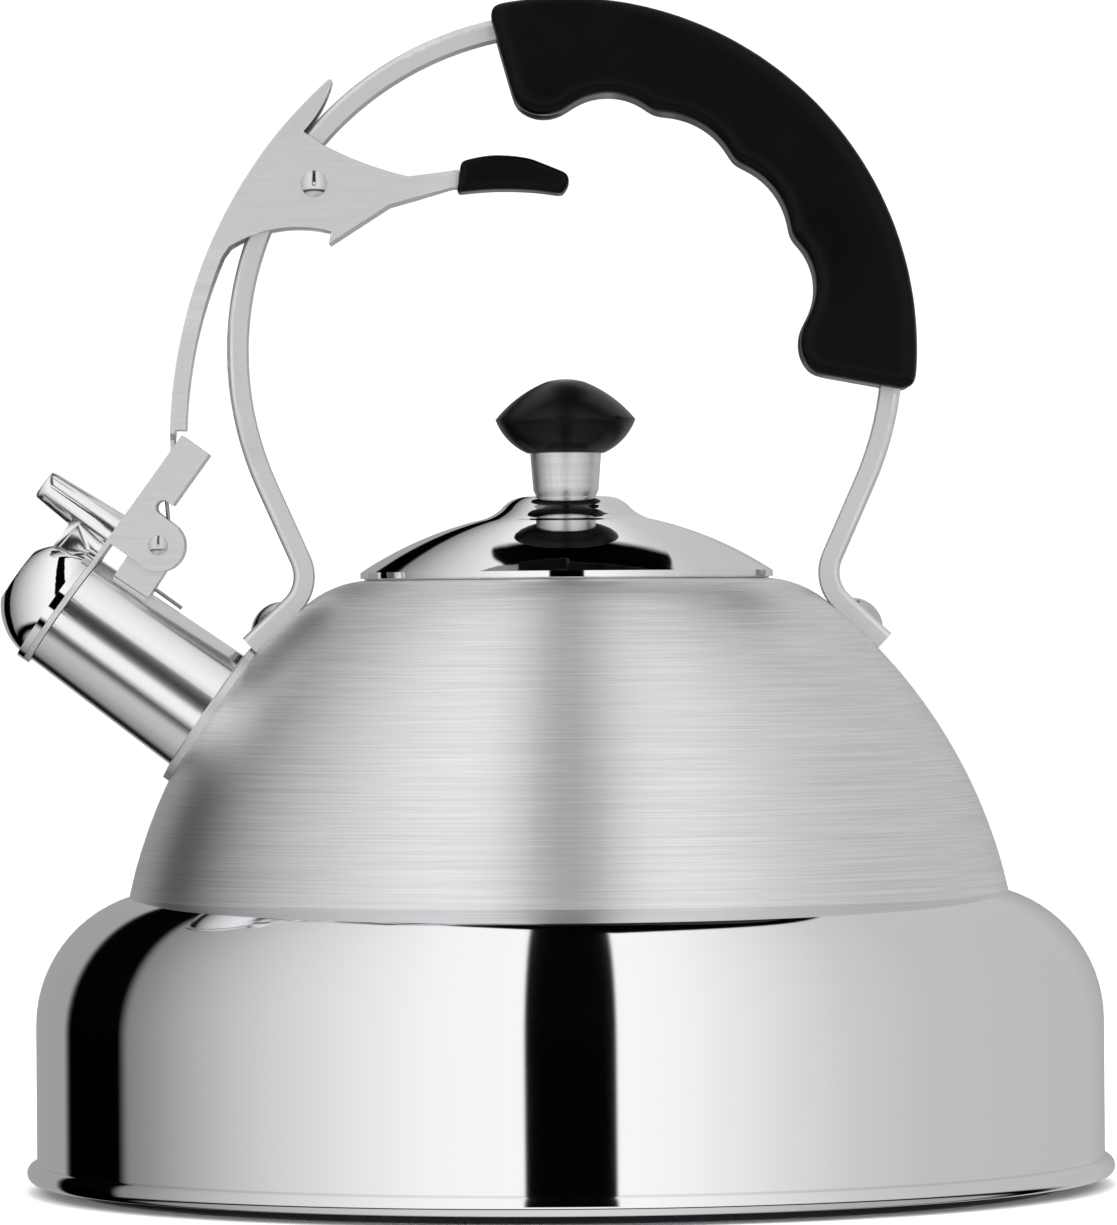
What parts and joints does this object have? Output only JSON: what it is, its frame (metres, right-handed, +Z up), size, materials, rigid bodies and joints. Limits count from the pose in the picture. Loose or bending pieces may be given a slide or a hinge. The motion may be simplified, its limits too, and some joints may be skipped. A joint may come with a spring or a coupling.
{
  "type": "stovetop whistling kettle",
  "caption": "Round stovetop kettle with a domed body, lift-off lid, arched handle with finger grip, and a trigger that opens the whistle cap on its spout.",
  "frame": {"origin": "centre of the flat base, on the surface the kettle stands on", "axes": "+Z up along the kettle's axis; -X towards the spout; Y across the handle"},
  "size_m": [0.2247, 0.22, 0.2398],
  "materials": {
    "polished_steel": "mirror polished stainless steel",
    "brushed_steel": "fine brushed stainless steel",
    "plated_steel": "bright stainless steel fasteners",
    "spring_steel": "drawn spring wire",
    "whistle_sheet": "plain pressed steel",
    "aluminium": "plain",
    "base_steel": "dark satin magnetic steel",
    "black_nylon": "satin black, slightly glossy"
  },
  "bodies": {
    "kettle": {"lower_shell": "polished_steel", "upper_dome": "brushed_steel", "heat_disc": "aluminium", "base_cap": "base_steel", "spout_tube": "polished_steel", "spout_flange": "brushed_steel", "spout_bracket": "brushed_steel", "hinge_pin": "plated_steel", "return_spring": "spring_steel", "handle_strap": "brushed_steel", "grip_body": "black_nylon", "grip_cover": "black_nylon", "grip_screws": "plated_steel", "foot_rivets": "plated_steel", "foot_washers": "plated_steel", "pivot_lug": "plated_steel", "lever_rivet": "plated_steel"},
    "lever": {"trigger_lever": "brushed_steel", "trigger_sleeve": "black_nylon"},
    "cap": {"cap_bracket": "brushed_steel", "cap_shell": "polished_steel", "whistle_horn": "brushed_steel", "whistle_plate": "whistle_sheet", "whistle_cup": "whistle_sheet"},
    "lid": {"lid_shell": "polished_steel", "lid_skirt": "brushed_steel", "knob_ferrule": "plated_steel", "knob": "black_nylon", "knob_washer": "plated_steel", "knob_screw": "plated_steel"}
  },
  "joints": [
    {"name": "lever_pivot", "type": "hinge", "parent": "kettle", "child": "lever", "pos_m": [-0.0504, 0, 0.2026], "axis": [0, -1, 0], "range_deg": [0, 8]},
    {"name": "cap_hinge", "type": "hinge", "parent": "kettle", "child": "cap", "pos_m": [-0.08243, 0, 0.12987], "axis": [0, 1, 0], "range_deg": [0, 36], "stiffness_Nm_per_rad": 0.03, "springref_deg": -34.38, "deforming": ["return_spring"]},
    {"name": "lid_lift", "type": "slide", "parent": "kettle", "child": "lid", "axis": [0, 0, 1], "range_m": [0, 0.034]}
  ],
  "couplings": [
    {"joint": "cap_hinge", "follows": "lever_pivot", "ratio": 4.5}
  ]
}
